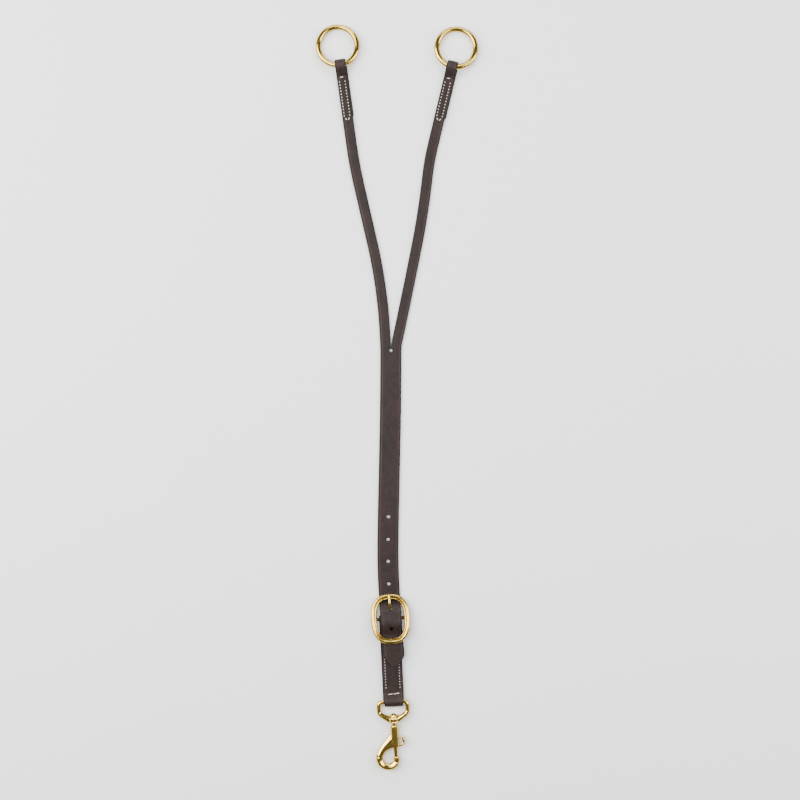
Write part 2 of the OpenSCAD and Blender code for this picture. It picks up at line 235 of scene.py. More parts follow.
def bridge(first, second):
    """Quads between two rings of vertex numbers."""
    count = len(first)
    return [(first[i], first[(i + 1) % count], second[(i + 1) % count], second[i])
            for i in range(count)]


def tube(path, section, closed=False):
    """Sweeps section(i, t) -> [(across, up)] along path [(point, side, up)]. Returns points and
    faces, with the ends capped or, when closed, joined to each other."""
    points, rings = [], []
    last = len(path) if closed else len(path) - 1
    for i, (centre, side, up) in enumerate(path):
        ring = section(i, i / last)
        rings.append(range(len(points), len(points) + len(ring)))
        points += [centre + side * a + up * b for a, b in ring]
    faces = []
    for first, second in zip(rings, rings[1:]):
        faces += bridge(first, second)
    if closed:
        faces += bridge(rings[-1], rings[0])
    else:
        faces += [tuple(reversed(rings[0])), tuple(rings[-1])]
    return points, faces


def flat_path(points):
    """Turns points of a level curve into the stations that tube() wants."""
    return [(point, along(points, i).normalized().cross(UP), UP) for i, point in enumerate(points)]


def oval(a, b, count, power=1.0):
    """A superellipse ring: power 1 is an ellipse, less is squarer."""
    ring = []
    for i in range(count):
        angle = 2 * math.pi * i / count
        c, s = math.cos(angle), math.sin(angle)
        ring.append((a * math.copysign(abs(c) ** power, c), b * math.copysign(abs(s) ** power, s)))
    return ring


def lathe(profile, sides):
    """Turns a profile [(radius, y)] about the y axis into a closed solid."""
    points, rings = [], []
    for radius, y in profile:
        rings.append(range(len(points), len(points) + sides))
        for i in range(sides):
            angle = 2 * math.pi * i / sides
            points.append(Vector((radius * math.cos(angle), y, radius * math.sin(angle))))
    faces = []
    for first, second in zip(rings, rings[1:]):
        faces += bridge(first, second)
    faces += [tuple(reversed(rings[0])), tuple(rings[-1])]
    return points, faces


def rounded_profile(profile, radius, steps=4):
    """Rounds the corners of a lathe profile given as [(radius, y)] in metres."""
    out = [profile[0]]
    for before, corner, after in zip(profile, profile[1:], profile[2:]):
        before, corner, after = Vector(before), Vector(corner), Vector(after)
        cut = min(radius, (before - corner).length * 0.45, (after - corner).length * 0.45)
        start = corner + (before - corner).normalized() * cut
        end = corner + (after - corner).normalized() * cut
        for i in range(steps + 1):
            t = i / steps
            point = start * (1 - t) ** 2 + corner * 2 * t * (1 - t) + end * t ** 2
            out.append((point.x, point.y))
    out.append(profile[-1])
    return out


def spline(points, steps):
    """A Catmull-Rom curve through the points."""
    points = [Vector(p) for p in points]
    padded = [points[0] * 2 - points[1]] + points + [points[-1] * 2 - points[-2]]
    out = []
    for p0, p1, p2, p3 in zip(padded, padded[1:], padded[2:], padded[3:]):
        for i in range(steps):
            t = i / steps
            out.append(0.5 * ((2 * p1) + (p2 - p0) * t + (2 * p0 - 5 * p1 + 4 * p2 - p3) * t ** 2
                              + (3 * p1 - p0 - 3 * p2 + p3) * t ** 3))
    out.append(points[-1])
    return out


def flat_curve(pairs, steps):
    """A level curve through (x, y) pairs in mm."""
    return spline([Vector((x, y, 0)) * MM for x, y in pairs], steps)


def turned(pairs, sides, corner=0):
    """A lathe solid from (radius, y) pairs in mm, with its corners rounded by corner mm."""
    profile = [(r * MM, y * MM) for r, y in pairs]
    return lathe(rounded_profile(profile, corner * MM) if corner else profile, sides)


def together(parts):
    """Several parts' points and faces as one part's."""
    points, faces = [], []
    for part_points, part_faces in parts:
        start = len(points)
        points += part_points
        faces += [tuple(start + v for v in face) for face in part_faces]
    return points, faces


def boolean(piece, cutter_mesh):
    """Cuts a mesh out of a piece."""
    cutter = bpy.data.objects.new("cutter", cutter_mesh)
    bpy.context.scene.collection.objects.link(cutter)
    modifier = piece.modifiers.new("cut", "BOOLEAN")
    modifier.operation = "DIFFERENCE"
    modifier.object = cutter
    modifier.solver = "EXACT"
    apply_modifiers(piece)
    bpy.data.objects.remove(cutter)


def apply_modifiers(piece):
    graph = bpy.context.evaluated_depsgraph_get()
    mesh = bpy.data.meshes.new_from_object(piece.evaluated_get(graph))
    piece.modifiers.clear()
    piece.data = mesh


def cast(name, parts, voxel, relax, transform):
    """Melts overlapping closed parts into one casting with filleted joints."""
    piece = bpy.data.objects.new(name, mesh_from(name, *together(parts)))
    bpy.context.scene.collection.objects.link(piece)
    remesh = piece.modifiers.new("melt", "REMESH")
    remesh.mode = "VOXEL"
    remesh.voxel_size = voxel
    soften = piece.modifiers.new("soften", "CORRECTIVE_SMOOTH")
    soften.iterations = relax
    soften.use_only_smooth = True
    soften.factor = 0.6
    apply_modifiers(piece)
    mesh = piece.data
    mesh.transform(transform)
    mesh.polygons.foreach_set("use_smooth", [True] * len(mesh.polygons))
    bpy.data.objects.remove(piece)
    return mesh


# --- Materials ----------------------------------------------------------------------------
class Nodes:
    """Short calls for building a node material."""

    def __init__(self, name):
        self.material = bpy.data.materials.new(name)
        self.material.use_nodes = True
        self.tree = self.material.node_tree
        self.shader = self.tree.nodes["Principled BSDF"]
        self.place = self.add("ShaderNodeTexCoord", {}, "Object")

    def fill(self, node, inputs):
        """Links or sets a node's inputs."""
        for key, value in inputs.items():
            if isinstance(value, bpy.types.NodeSocket):
                self.tree.links.new(value, node.inputs[key])
            else:
                node.inputs[key].default_value = value

    def add(self, kind, inputs, output=0, **settings):
        """Adds a node and returns one of its outputs."""
        node = self.tree.nodes.new(kind)
        for key, value in settings.items():
            setattr(node, key, value)
        self.fill(node, inputs)
        return node.outputs[output]

    def noise(self, scale, detail=4.0, roughness=0.55, place=None, distortion=0.0):
        return self.add("ShaderNodeTexNoise", {
            "Vector": place or self.place, "Scale": scale, "Detail": detail,
            "Roughness": roughness, "Distortion": distortion}, "Fac")

    def voronoi(self, scale, feature="F1"):
        return self.add("ShaderNodeTexVoronoi", {"Vector": self.place, "Scale": scale},
                        "Distance", feature=feature)

    def stretch(self, place, scale):
        return self.add("ShaderNodeVectorMath", {0: place, 1: scale}, operation="MULTIPLY")

    def ramp(self, value, low, high, start=0.0, end=1.0):
        """Maps low..high to start..end, clamped."""
        return self.add("ShaderNodeMapRange", {
            "Value": value, "From Min": low, "From Max": high, "To Min": start, "To Max": end},
            "Result")

    def mix(self, amount, first, second):
        return self.add("ShaderNodeMix", {"Factor": amount, 6: first, 7: second}, 2,
                        data_type="RGBA")

    def math(self, operation, first, second):
        return self.add("ShaderNodeMath", {0: first, 1: second}, operation=operation)

    def attribute(self, name, output="Fac"):
        return self.add("ShaderNodeAttribute", {}, output, attribute_name=name)

    def bump(self, height, strength, distance, normal=None):
        inputs = {"Height": height, "Strength": strength, "Distance": distance}
        if normal:
            inputs["Normal"] = normal
        return self.add("ShaderNodeBump", inputs, "Normal")

    def finish(self, color, roughness, normal, **sockets):
        self.fill(self.shader, {"Base Color": color, "Roughness": roughness, "Normal": normal})
        self.fill(self.shader, {key.replace("_", " "): value for key, value in sockets.items()})
        return self.material


def rgb(r, g, b):
    return (r, g, b, 1.0)


def leather_material():
    """Waxed dark-brown bridle leather: mottled colour, fine grain, burnished edges, a painted
    highlight along the creased lines and over the folds and arches, and a fibrous underside."""
    n = Nodes("dark_bridle_leather")
    mottle = n.ramp(n.noise(38, 5, 0.62), 0.34, 0.68)
    patches = n.ramp(n.noise(210, 6, 0.65, distortion=0.4), 0.38, 0.68)
    color = n.mix(mottle, rgb(0.0082, 0.0052, 0.0048), rgb(0.0175, 0.0088, 0.0076))
    color = n.mix(n.math("MULTIPLY", patches, 0.5), color, rgb(0.024, 0.0145, 0.0125))
    # Painted highlight: where the leather bends, over folds and arches, it is painted a lighter
    # grey-brown.
    painted_fold_highlight = n.math("MULTIPLY", n.attribute("bend"), n.ramp(n.noise(150, 4, 0.6), 0.3, 0.75, 0.25, 0.8))
    color = n.mix(n.ramp(painted_fold_highlight, 0.2, 0.9, 0, 0.55), color, rgb(0.050, 0.036, 0.034))
    pores = n.ramp(n.voronoi(1500), 0.0, 0.32, 0.6, 0.0)
    color = n.mix(pores, color, rgb(0.006, 0.004, 0.0038))
    # Painted highlight: the creased lines are painted a lighter red-brown, more on left edges, where the
    # light falls.
    crease = n.attribute("crease")
    color = n.mix(n.math("MULTIPLY", crease, 0.6), color, rgb(0.055, 0.024, 0.018))
    edge = n.attribute("edge")
    color = n.mix(n.math("MULTIPLY", edge, 0.9), color, rgb(0.0045, 0.0032, 0.003))
    flesh = n.attribute("flesh")
    fibres = n.ramp(n.noise(900, 6, 0.7), 0.3, 0.7)
    suede = n.mix(fibres, rgb(0.03, 0.018, 0.013), rgb(0.065, 0.04, 0.028))
    color = n.mix(flesh, color, suede)
    sheen = n.ramp(n.noise(120, 5, 0.6), 0.3, 0.7, 0.42, 0.58)
    sheen = n.math("ADD", sheen, n.math("MULTIPLY", flesh, 0.35))
    grain = n.math("ADD", n.voronoi(1150, "DISTANCE_TO_EDGE"),
                   n.math("MULTIPLY", n.noise(2600, 3, 0.6), 0.5))
    normal = n.bump(n.noise(160, 4, 0.6), 0.5, 0.0008)
    normal = n.bump(grain, 0.35, 0.00025, normal)
    wrinkles = n.noise(1.0, 4, 0.6, n.stretch(n.attribute("lay", "Vector"), (180, 900, 1)), 0.6)
    wrinkles = n.math("MULTIPLY", wrinkles, n.attribute("bend"))
    normal = n.bump(wrinkles, 0.6, 0.0007, normal)
    return n.finish(color, sheen, normal, Specular_IOR_Level=0.17)


def brass_material(name="polished_brass", dull=0.0, shade=1.0):
    """Cast brass, polished by hand: fine swirls, small dings and a brown film in the recesses."""
    n = Nodes(name)
    film = n.ramp(n.noise(95, 5, 0.6), 0.42, 0.72, 0.0, 0.6)
    clean, filmed = (0.80, 0.555, 0.125), (0.50, 0.325, 0.055)
    # The shade factor scales the whole colour down: for the darker copies this is a painted shade.
    color = n.mix(film, rgb(*(c * shade for c in clean)), rgb(*(c * shade for c in filmed)))
    hollow = n.ramp(n.add("ShaderNodeNewGeometry", {}, "Pointiness"), 0.40, 0.485, 0.9, 0.0)
    color = n.mix(hollow, color, rgb(0.10, 0.06, 0.018))
    scuffs = n.noise(1.0, 3, 0.5, n.stretch(n.place, (900, 260, 900)), 1.2)
    gloss = n.ramp(n.noise(310, 5, 0.7), 0.35, 0.75, 0.10 + dull, 0.20 + dull)
    gloss = n.math("ADD", gloss, n.math("MULTIPLY", hollow, 0.25))
    normal = n.bump(n.noise(230, 3, 0.5), 0.10, 0.0005)
    normal = n.bump(scuffs, 0.06, 0.00008, normal)
    return n.finish(color, gloss, normal, Metallic=1.0, Specular_Tint=rgb(0.29, 0.21, 0.05))


def painted_shade_brass_material():
    """Unpolished dark brass for the centre bar and the frame's inner wall: painted shade where they lie
    in shadow.
    """
    n = Nodes("painted_shade_brass")
    color = n.mix(n.ramp(n.noise(400, 5, 0.6), 0.35, 0.7), rgb(0.035, 0.022, 0.012),
                  rgb(0.12, 0.075, 0.03))
    return n.finish(color, 0.5, n.bump(n.noise(900, 4), 0.2, 0.0002), Metallic=1.0)


def thread_material():
    """Waxed cream thread, slightly soiled by the leather."""
    n = Nodes("waxed_thread")
    soil = n.ramp(n.noise(260, 4, 0.6), 0.38, 0.72, 0.0, 0.75)
    color = n.mix(soil, rgb(0.80, 0.74, 0.63), rgb(0.46, 0.37, 0.27))
    normal = n.bump(n.noise(5200, 4, 0.6), 0.4, 0.00012)
    return n.finish(color, 0.62, normal, Sheen_Weight=0.15)


def steel_material():
    n = Nodes("spring_wire")
    color = n.mix(n.noise(600, 3), rgb(0.42, 0.41, 0.40), rgb(0.58, 0.57, 0.55))
    normal = n.bump(n.noise(2500, 3), 0.1, 0.0001)
    return n.finish(color, 0.35, normal, Metallic=1.0)


LEATHER = leather_material()
BRASS = brass_material()
# These two are the same brass painted darker than the snap's, a painted shade on the buckle and the
# rings.
SHADED_DULL_BRASS = brass_material("shaded_cast_brass", 0.06, 0.8)
SHADED_RING_BRASS = brass_material("shaded_ring_brass", 0.02, 0.76)
PAINTED_SHADE_BRASS = painted_shade_brass_material()
THREAD = thread_material()
STEEL = steel_material()


# --- Leather straps -----------------------------------------------------------------------
EDGE_STEPS = 7
NEAR_EDGE = [1.5, 1.85, 2.15, 2.4, 2.62, 2.9, 3.25, 3.7, 4.4]
INNER_STEPS = 10
HALF_UNDER = 3


class Station:
    """One cross-section of a strap: where its middle is, its directions and its size."""

    def __init__(self, centre, side, up, width, thick, lay, bend, shift=0.0, dents=()):
        self.centre, self.side, self.up = centre, side, up
        self.width, self.thick = width, thick
        self.lay, self.bend, self.shift, self.dents = lay, bend, shift, dents


def edge_inset(width):
    return min(EDGE_ROUND, 0.4 * width)


def edge_ring(width, thick, sign, upward, fullness):
    """Points round a burnished edge, on the side that sign says."""
    inset = edge_inset(width) * fullness
    points = []
    for i in range(EDGE_STEPS):
        angle = math.pi * (i / (EDGE_STEPS - 1) - 0.5) * (1 if upward else -1)
        c, s = abs(math.cos(angle)) ** 0.85, math.sin(angle)
        points.append((sign * (width / 2 - inset * (1 - c)),
                       thick / 2 * math.copysign(abs(s) ** 0.9, s)))
    return points


def near_edge(width):
    """Distances from an edge of the lengthwise lines near it, packed round the crease."""
    squeeze = min(1, width / (13 * MM))
    return [offset * MM * squeeze for offset in NEAR_EDGE]


def half_line(width):
    """Where the lengthwise lines of a wide strap's left half lie."""
    near = near_edge(width)
    gap = (width / 2 - near[-1]) / (INNER_STEPS + 1)
    inner = [near[-1] + gap * (i + 1) for i in range(INNER_STEPS)]
    return [offset - width / 2 for offset in near + inner]


def branch_line(width):
    """Where a branch's lengthwise lines lie."""
    near = near_edge(width)
    return [offset - width / 2 for offset in near] + [0.0] + [width / 2 - o for o in reversed(near)]


class Strap:
    """Collects the stations of a strap and its mesh attributes as it grows."""

    def __init__(self, name):
        self.name = name
        self.points, self.faces = [], []
        self.lay, self.edge, self.crease, self.flesh, self.bend = [], [], [], [], []

    def add(self, station, u, height, edge=0.0, crease=0.0, flesh=0.0):
        """Adds a point u across and height up, and returns its number."""
        at = station.centre + station.side * (u + station.shift)
        at = at + station.up * height
        wave = 0.05 * MM * rough(at, 0.02) + 0.03 * MM * rough(at, 0.006, 3.1)
        self.points.append(at + station.up * wave * (1 - flesh))
        self.lay.append((u, station.lay, 0.0))
        self.edge.append(edge)
        self.crease.append(crease)
        self.flesh.append(flesh)
        self.bend.append(station.bend)
        return len(self.points) - 1

    def corner(self, station, u, height):
        return self.add(station, u, height, edge=1.0, flesh=0.2 if height < 0 else 0.0)

    def top_point(self, station, u, outer, inner):
        """A point of the show side, which has a low crown, creased lines and stitch dents."""
        width = station.width
        from_left, from_right = u + width / 2, width / 2 - u
        creased = 1.0 if width > 5 * MM else 0.0
        left, right = [amount * creased * bump(distance - CREASE_IN, CREASE_HALF)
                       for amount, distance in ((outer, from_left), (inner, from_right))]
        crown = 0.10 * MM * (1 - (2 * u / width) ** 2)
        height = station.thick / 2 + crown - CREASE_DEPTH * (left + right)
        for dent_u, depth, half in station.dents:
            height -= depth * bump(u - dent_u, half)
        edge = max(bump(from_left, 1.4 * MM), inner * bump(from_right, 1.4 * MM))
        # This mask places the painted highlight along the creased lines.
        return self.add(station, u, height, edge=edge, crease=max(left, right))

    def under_points(self, station, steps):
        """Points of the flesh side, from right to left."""
        reach = station.width / 2 - edge_inset(station.width)
        return [self.add(station, reach * (1 - 2 * i / steps), -station.thick / 2, flesh=1.0)
                for i in range(1, steps)]

    def edge_points(self, station, sign, upward, fullness=1.0):
        return [self.corner(station, u, z)
                for u, z in edge_ring(station.width, station.thick, sign, upward, fullness)]

    def wide_ring(self, station):
        """A section of a full-width strap: left edge, show side, right edge, underside."""
        half = half_line(station.width)
        lines = half + [0.0] + [-u for u in reversed(half)]
        ring = self.edge_points(station, -1, True)
        # outer 1.0 and inner 0.7 make the left creasing deeper and its painted highlight stronger than
        # the right's.
        ring += [self.top_point(station, u, 1.0, 0.7) for u in lines]
        ring += self.edge_points(station, 1, False)
        return ring + self.under_points(station, 2 * HALF_UNDER + 2)

    def branch_ring(self, station, outer, inner, cut, fullness):
        """A section of a branch. cut says which edge was cut at the split: 1 right, -1 left."""
        ring = self.edge_points(station, -1, True, fullness if cut == -1 else 1.0)
        ring += [self.top_point(station, u, outer, inner) for u in branch_line(station.width)]
        ring += self.edge_points(station, 1, False, fullness if cut == 1 else 1.0)
        return ring + self.under_points(station, HALF_UNDER + 1)

    def split_rings(self, ring, station):
        """The two branches' first rings, which share the main strap's last ring and a wall."""
        top_lines = 2 * (len(NEAR_EDGE) + INNER_STEPS) + 1
        left, rest = ring[:EDGE_STEPS], ring[EDGE_STEPS:]
        top, rest = rest[:top_lines], rest[top_lines:]
        right, under = rest[:EDGE_STEPS], rest[EDGE_STEPS:]
        middle = top_lines // 2
        wall = [self.corner(station, 0, station.thick * (0.5 - i / (EDGE_STEPS - 1)))
                for i in range(1, EDGE_STEPS - 1)]
        down = [top[middle]] + wall + [under[HALF_UNDER]]
        left_branch = left + top[:middle] + down + under[HALF_UNDER + 1:]
        right_branch = list(reversed(down)) + top[middle + 1:] + right + under[:HALF_UNDER]
        return left_branch, right_branch

    def join(self, rings):
        for first, second in zip(rings, rings[1:]):
            self.faces += bridge(first, second)

    def cap(self, ring, flip):
        self.faces.append(tuple(reversed(ring)) if flip else tuple(ring))

    def mesh(self):
        mesh = mesh_from(self.name, self.points, self.faces)
        for name in ("edge", "crease", "flesh", "bend"):
            layer = mesh.attributes.new(name, "FLOAT", "POINT")
            layer.data.foreach_set("value", getattr(self, name))
        layer = mesh.attributes.new("lay", "FLOAT_VECTOR", "POINT")
        layer.data.foreach_set("vector", [value for lay in self.lay for value in lay])
        return mesh


def across(heading, sign=1):
    """The level direction across a strap, sign -1 where the plan runs down the picture."""
    return Vector((math.sin(heading), -math.cos(heading), 0)) * sign


def stack(points, sides):
    """Up directions for a run of points, square to the run and to sides."""
    ups = [side.cross(along(points, i)).normalized() for i, side in enumerate(sides)]
    return [up if up.z >= 0 else -up for up in ups]


def billet_underside(y):
    """Height of the billet's underside in the buckle's frame."""
    y = y / MM
    if y > 0:
        return CREST_Z * ease((24.5 - y) / 15)
    return LAP_Z + (CREST_Z - LAP_Z) * ease((y + 21) / 18)


def tip_width(t):
    """Width of the strap at a distance past the shoulder of its blunt tip."""
    for (t0, w0), (t1, w1) in zip(TIP_SHAPE, TIP_SHAPE[1:]):
        if t <= t1 * MM:
            return (w0 + (w1 - w0) * (t / MM - t0) / (t1 - t0)) * MM
    return TIP_SHAPE[-1][1] * MM


def thinned(thick, y):
    """Thickness of leather at a place along it that is pared down for the fold at y = 0."""
    return thick + (TURNED_T - thick) * ease((y + THINNING_L) / THINNING_L)


def main_stations():
    """Cross-sections of the main strap, from the billet's tip up to the split."""
    plan = route(SPLIT, math.radians(-90), MAIN_PLAN, 1.6 * MM)
    point, heading, gone = plan[-1]
    ahead = Vector((math.cos(heading), math.sin(heading), 0))
    rows = [(p, h, g, STRAP_W) for p, h, g in plan]
    for i in range(1, 14):
        t = TIP_L * i / 13
        rows.append((point + ahead * t, heading, gone + t, tip_width(t)))
    inverse = BUCKLE.inverted()
    middles, sides = [], []
    for p, h, g, w in rows:
        middles.append(p + Vector((0, 0, billet_underside((inverse @ p).y) + STRAP_T / 2)))
        sides.append(across(h, -1))
    ups = stack(middles, sides)
    stations = []
    for (p, h, g, w), middle, side, up in zip(rows, middles, sides, ups):
        y = (inverse @ p).y / MM
        bend = 0.25 + 0.75 * bump(y - 2, 16)
        wear = w * (1 + 0.004 * rough((0, g, 0), 0.03, 1.0))
        stations.append(Station(middle, side, up, wear, STRAP_T, g, bend))
    return list(reversed(stations))


def loop_underside(y):
    """Height of a ring loop's upper layer: up the skived end, along it, then over the wire."""
    if y > -SKIVE_FROM:
        rise = RING_WIRE_Z + LOOP_SPACE_R - TURNED_T
        return TURNED_T + rise * ease((y + LOOP_RAMP) / LOOP_RAMP)
    return TURNED_T * ease((y + SKIVE_TO) / (SKIVE_TO - SKIVE_FROM))


def stitch_dents(y, start, pitch, rows):
    """The pulled-down leather round stitch rows at a place along them: (u, depth, half)."""
    phase = (start - y) / pitch % 1
    pull = 0.14 + 0.26 * bump(min(phase, 1 - phase), 0.16)
    return [(u, pull * MM, DENT_HALF) for u in rows]


def loop_dents(y):
    if not -63 * MM < y < -17.4 * MM:
        return ()
    return stitch_dents(y, LOOP_STITCH_Y, LOOP_PITCH,
                        [s * LOOP_ROW_X + LOOP_ROW_SHIFT for s in (-1, 1)])


def loop_profile():
    """The side view of a ring loop from the top layer, round the fold, to the tip underneath:
    (y, z of the middle, thickness, width, sideways shift, bend)."""
    profile = []
    y = -SKIVE_TO
    while y < -0.01 * MM:
        thick = thinned(STRAP_T, y)
        profile.append((y, loop_underside(y) + thick / 2, thick, BRANCH_W, 0.0, bump(y, 14 * MM)))
        y += (0.62 if y > -64.5 * MM else 2) * MM
    radius = LOOP_SPACE_R + TURNED_T / 2
    for i in range(25):
        angle = math.pi * (0.5 - i / 24)
        profile.append((radius * math.cos(angle), RING_WIRE_Z + radius * math.sin(angle), TURNED_T,
                        BRANCH_W - 0.3 * MM * math.cos(angle), TURNED_SHIFT * i / 24, 1.0))
    count = 44
    for i in range(1, count + 1):
        y = -(TURNED_L - 0.4 * MM) * i / count
        space = loop_underside(y) if y < -LOOP_RAMP else TURNED_T
        thick = min(TURNED_T, space) - 0.04 * MM
        width = BRANCH_W * min(1, (TURNED_L + y) / (TURNED_L - TURNED_SHOULDER))
        profile.append((y, thick / 2, thick, max(width, 0.7 * MM), TURNED_SHIFT,
                        0.5 * bump(y, 9 * MM)))
    return profile


def branch_stations(start, heading, plan, loop):
    """Cross-sections of one branch from the split, round its ring loop and back underneath."""
    stations = []
    flat = route(start, math.radians(heading), plan[:-1], 1.8 * MM)
    for p, h, gone in flat:
        middle = p + Vector((0, 0, STRAP_T / 2))
        width = BRANCH_W - 0.35 * MM * ease(1 - gone / (30 * MM))
        width *= 1 + 0.006 * rough((p.x, gone, 0), 0.025, 2.0)
        stations.append(Station(middle, across(h), UP, width, STRAP_T, gone, 0.25))
    side = loop.to_3x3() @ Vector((1, 0, 0))
    profile = loop_profile()
    points = [loop @ Vector((0, y, z - RING_WIRE_Z)) for y, z, *_ in profile]
    gone = flat[-1][2]
    for i, (y, z, thick, width, shift, bend) in enumerate(profile):
        up = side.cross(along(points, i)).normalized()
        gone += (points[i] - points[max(i - 1, 0)]).length
        dents = loop_dents(y) if z > LOOP_SPACE_R / 2 or thick > TURNED_T else ()
        stations.append(Station(points[i], side, up, width, thick, gone, 0.25 + 0.75 * bend,
                                shift=shift, dents=dents))
    return stations


def open_split(strap, first, stations, cut, outer, inner):
    """Adds a branch to the strap: the cut edge rounds off within the stop hole."""
    rings = [first]
    for i, station in enumerate(stations[1:]):
        rings.append(strap.branch_ring(station, outer, inner, cut, min(1, (i + 1) / 3)))
    strap.join(rings)
    strap.cap(rings[-1], False)


def punch(matrix, radius, top, flare=0.75 * MM):
    """A cutter for a punched hole whose rim is pulled down a little. It points up."""
    profile = [(radius, -2 * MM), (radius, top - 0.9 * MM), (radius + 0.1 * flare, top - 0.5 * MM),
               (radius + 0.35 * flare, top - 0.18 * MM), (radius + flare, top + 0.08 * MM),
               (radius + 2.2 * flare, top + 1.2 * MM)]
    return mesh_from("punch", *lathe(profile, 40), matrix @ Matrix.Rotation(math.radians(90), 4, "X"))


def slot_cutter(matrix, width, y0, y1, low, high):
    """A round-ended slot cutter along y between two heights."""
    points = []
    radius = width / 2
    for z in (low, high):
        for i in range(32):
            angle = 2 * math.pi * i / 32
            y = (y1 - radius if math.sin(angle) > 0 else y0 + radius) + radius * math.sin(angle)
            points.append(Vector((radius * math.cos(angle), y, z)))
    lower, upper = list(range(32)), list(range(32, 64))
    faces = bridge(lower, upper) + [tuple(reversed(lower)), tuple(upper)]
    return mesh_from("slot", points, faces, matrix)


def cut(mesh, cutters):
    """Cuts the cutters out of a mesh, one after another."""
    piece = bpy.data.objects.new("cutting", mesh)
    bpy.context.scene.collection.objects.link(piece)
    for cutter in cutters:
        boolean(piece, cutter)
    mesh = piece.data
    bpy.data.objects.remove(piece)
    return mesh


def fork_strap():
    strap = Strap("fork_strap")
    main = main_stations()
    rings = [strap.wide_ring(station) for station in main]
    strap.join(rings)
    strap.cap(rings[0], True)
    left, right = strap.split_rings(rings[-1], main[-1])
    quarter = STRAP_W / 4
    left_start = SPLIT + Vector((-quarter - 0.1 * MM, 0, 0))
    right_start = SPLIT + Vector((quarter + 0.2 * MM, 0, 0))
    open_split(strap, left, branch_stations(left_start, 91, LEFT_PLAN, LEFT_LOOP), 1, 1.0, 0.0)
    open_split(strap, right, branch_stations(right_start, 90, RIGHT_PLAN, RIGHT_LOOP), -1, 0.0, 0.7)
    cutters = [punch(Matrix.Translation(SPLIT), STOP_HOLE_D / 2, STRAP_T, 0.4 * MM)]
    inverse = BUCKLE.inverted()
    stations = route(SPLIT, math.radians(-90), MAIN_PLAN, 0.5 * MM)
    for i in (0, 1, 2, 3, 5):
        point = min(stations, key=lambda s: abs(s[2] - FIRST_HOLE - i * HOLE_PITCH))[0]
        top = billet_underside((inverse @ point).y) + STRAP_T
        cutters.append(punch(Matrix.Translation(point), HOLE_D / 2, top))
    cutters.append(slot_cutter(level(BUCKLE), SLOT_W, 10.3 * MM, 19 * MM, -1 * MM, 30 * MM))
    mesh = cut(strap.mesh(), cutters)
    smooth(mesh, 50)
    new_object("fork_strap_leather", mesh, "strap", LEATHER, ["fork_strap"])


# --- Snap strap ---------------------------------------------------------------------------
def snap_strap_profile():
    """The side view of the snap strap, from the joint underneath round both folds and back."""
    bar_z, eye_z = BUCKLE.translation.z, SNAP.translation.z
    length = SNAP_STRAP_L
    upper_rise = bar_z + BUCKLE_FOLD_R - TURNED_T - SNAP_STRAP_T

    def lower(y):
        return (bar_z - BUCKLE_FOLD_R) * ease((y / MM + 12) / 12)

    def upper(y):
        if y > -length / 2:
            return SNAP_STRAP_T + upper_rise * ease((y / MM + 14) / 14)
        rise = eye_z + EYE_SPACE_R - SNAP_STRAP_T
        return SNAP_STRAP_T + rise * ease((11 * MM - length - y) / (11 * MM))

    profile = []
    join = -length / 2
    for i in range(31):
        y = join * (1 - i / 30) - 0.15 * MM * (1 - i / 30)
        thick = thinned(SNAP_STRAP_T, y)
        profile.append((y, lower(y) + thick / 2, thick))
    radius = BUCKLE_FOLD_R - TURNED_T / 2
    for i in range(1, 20):
        angle = math.pi * (i / 20 - 0.5)
        profile.append((radius * math.cos(angle), bar_z + radius * math.sin(angle), TURNED_T))
    count = round(length / (0.57 * MM))
    for i in range(count + 1):
        y = -length * i / count
        thick = thinned(SNAP_STRAP_T, y)
        profile.append((y, upper(y) + thick / 2 + 0.04 * MM, thick))
    thick = SNAP_STRAP_T - 0.06 * MM
    radius = eye_z - thick / 2
    for i in range(1, 20):
        angle = math.pi * (0.5 + i / 20)
        profile.append((radius * math.cos(angle) - length, eye_z + radius * math.sin(angle), thick))
    for i in range(31):
        y = -length + (length + join - 0.3 * MM) * i / 30
        profile.append((y, thick / 2, thick))
    return profile


def snap_dents(y):
    if not 12 * MM - SNAP_STRAP_L < y < -29.6 * MM:
        return ()
    return stitch_dents(y, SNAP_STITCH_Y, SNAP_PITCH, (-SNAP_ROW_X, SNAP_ROW_X))


def snap_strap():
    strap = Strap("snap_strap")
    profile = snap_strap_profile()
    side = SNAP_STRAP.to_3x3() @ Vector((1, 0, 0))
    points = [SNAP_STRAP @ Vector((0, y, z)) for y, z, _ in profile]
    rings, gone = [], 0.0
    for i, (y, z, thick) in enumerate(profile):
        gone += (points[i] - points[max(i - 1, 0)]).length
        up = along(points, i).cross(side).normalized()
        past = (-SNAP_STRAP_L + 3 * MM - y) / (5.5 * MM)
        width = SNAP_STRAP_W - 0.1 * MM - 3.4 * MM * ease(past)
        on_top = z > (3.4 if y < -14 * MM else 6) * MM
        bend = max(bump(y, 12 * MM), bump(y + SNAP_STRAP_L, 10 * MM))
        dents = snap_dents(y) if on_top else ()
        rings.append(strap.wide_ring(Station(points[i], side, up, width, thick, gone,
                                             0.25 + 0.75 * bend, dents=dents)))
    strap.join(rings)
    strap.cap(rings[0], True)
    strap.cap(rings[-1], False)
    slot = slot_cutter(SNAP_STRAP @ Matrix.Translation((1 * MM, 0, 0)), SLOT_W, -5 * MM, 20 * MM,
                       1.45 * MM, 15 * MM)
    mesh = cut(strap.mesh(), [slot])
    smooth(mesh, 50)
    new_object("snap_strap_leather", mesh, "strap", LEATHER, ["snap_strap"])


